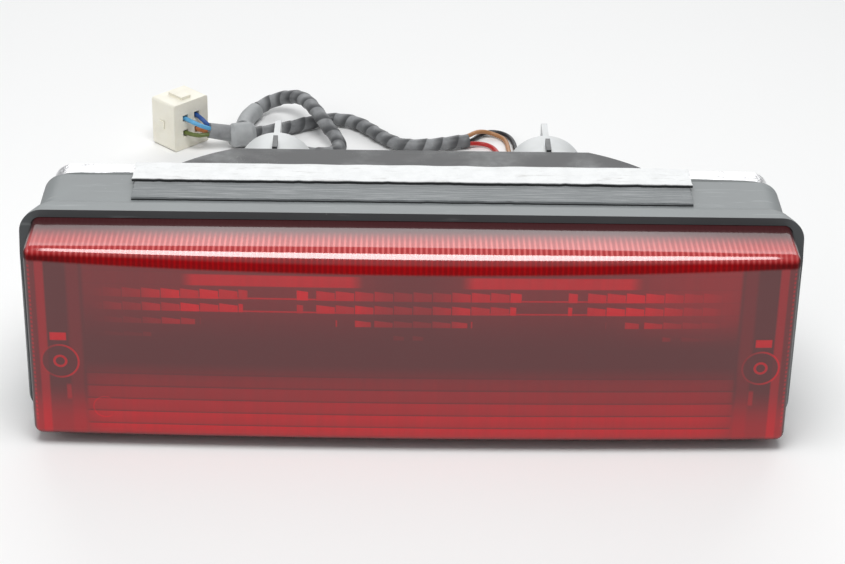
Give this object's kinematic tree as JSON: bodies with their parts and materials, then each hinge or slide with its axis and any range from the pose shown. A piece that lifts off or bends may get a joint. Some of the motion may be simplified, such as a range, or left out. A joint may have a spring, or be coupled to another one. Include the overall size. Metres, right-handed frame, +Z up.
{
  "type": "motorcycle rear brake light",
  "caption": "Wide rear brake light with a ribbed red lens, black housing in a rubber boot, two twist-lock bulb sockets and a taped wiring harness with a plug.",
  "frame": {"origin": "middle of the rubber boot's flat underside, which the lamp stands on", "axes": "+X along the lamp to the right seen from the lens, +Y backwards from the lens to the sockets, +Z up"},
  "size_m": [0.31, 0.3339, 0.0931],
  "materials": {
    "lens_red": "glossy transparent red with ribs and prism rows",
    "gasket_black": "satin",
    "housing_black": "satin moulded, lightly dusty",
    "screw_steel": "zinc plated",
    "reflector_silver": "metallised",
    "boot_rubber": "satin",
    "foam_grey": "matt felt",
    "strip_white": "matt foam tape",
    "foil": "crumpled foil",
    "socket_grey": "light grey nylon",
    "contact_brass": "satin",
    "spring_steel": "bright",
    "bulb_glass": "clear",
    "filament": "drawn wire",
    "wire_tan": "satin insulation",
    "wire_red": "satin insulation",
    "wire_black": "satin insulation",
    "wire_blue": "satin insulation",
    "wire_sky": "satin insulation",
    "wire_orange": "satin insulation",
    "wire_olive": "satin insulation",
    "sleeve_black": "satin tape wound",
    "tape_grey": "satin tape",
    "plug_nylon": "natural nylon",
    "terminal_tin": "tinned"
  },
  "bodies": {
    "lamp": {"foam_pad": "foam_grey", "foil_tape_left": "foil", "foil_tape_right": "foil", "housing": "housing_black", "junction_wrap": "tape_grey", "lens": "lens_red", "lens_gasket": "gasket_black", "lens_screws": "screw_steel", "mounting_studs": "screw_steel", "plug_body": "plug_nylon", "plug_retainer": "plug_nylon", "plug_terminals": "terminal_tin", "reflector": "reflector_silver", "rubber_boot": "boot_rubber", "sleeve_loop": "sleeve_black", "sleeve_main": "sleeve_black", "stud_washers": "screw_steel", "tape_band": "tape_grey", "trunk_sleeve": "sleeve_black", "white_strip": "strip_white", "wire_black_left": "wire_black", "wire_black_right": "wire_black", "wire_blue": "wire_blue", "wire_olive": "wire_olive", "wire_orange": "wire_orange", "wire_red_left": "wire_red", "wire_red_right": "wire_red", "wire_sky": "wire_sky", "wire_tan_left": "wire_tan", "wire_tan_right": "wire_tan"},
    "socket_left": {"socket_left": "socket_grey", "socket_gasket_left": "gasket_black", "contact_shell_left": "contact_brass", "contact_spring_left": "spring_steel"},
    "bulb_left": {"bulb_base_left": "contact_brass", "bulb_glass_left": "bulb_glass", "bulb_filaments_left": "filament", "contact_disc_left": "contact_brass"},
    "socket_right": {"socket_right": "socket_grey", "socket_gasket_right": "gasket_black", "contact_shell_right": "contact_brass", "contact_spring_right": "spring_steel"},
    "bulb_right": {"bulb_base_right": "contact_brass", "bulb_glass_right": "bulb_glass", "bulb_filaments_right": "filament", "contact_disc_right": "contact_brass"}
  },
  "joints": [
    {"name": "socket_left_twist", "type": "hinge", "parent": "lamp", "child": "socket_left", "pos_m": [-0.058, 0.0752, 0.0647], "axis": [0, 1, 0], "range_deg": [0, 40]},
    {"name": "bulb_left_press", "type": "slide", "parent": "socket_left", "child": "bulb_left", "axis": [0, 1, 0], "range_m": [0, 0.0015], "stiffness_N_per_m": 1500, "springref_m": -0.002, "deforming": ["contact_spring_left"]},
    {"name": "socket_right_twist", "type": "hinge", "parent": "lamp", "child": "socket_right", "pos_m": [0.058, 0.0752, 0.0647], "axis": [0, 1, 0], "range_deg": [0, 40]},
    {"name": "bulb_right_press", "type": "slide", "parent": "socket_right", "child": "bulb_right", "axis": [0, 1, 0], "range_m": [0, 0.0015], "stiffness_N_per_m": 1500, "springref_m": -0.002, "deforming": ["contact_spring_right"]}
  ]
}
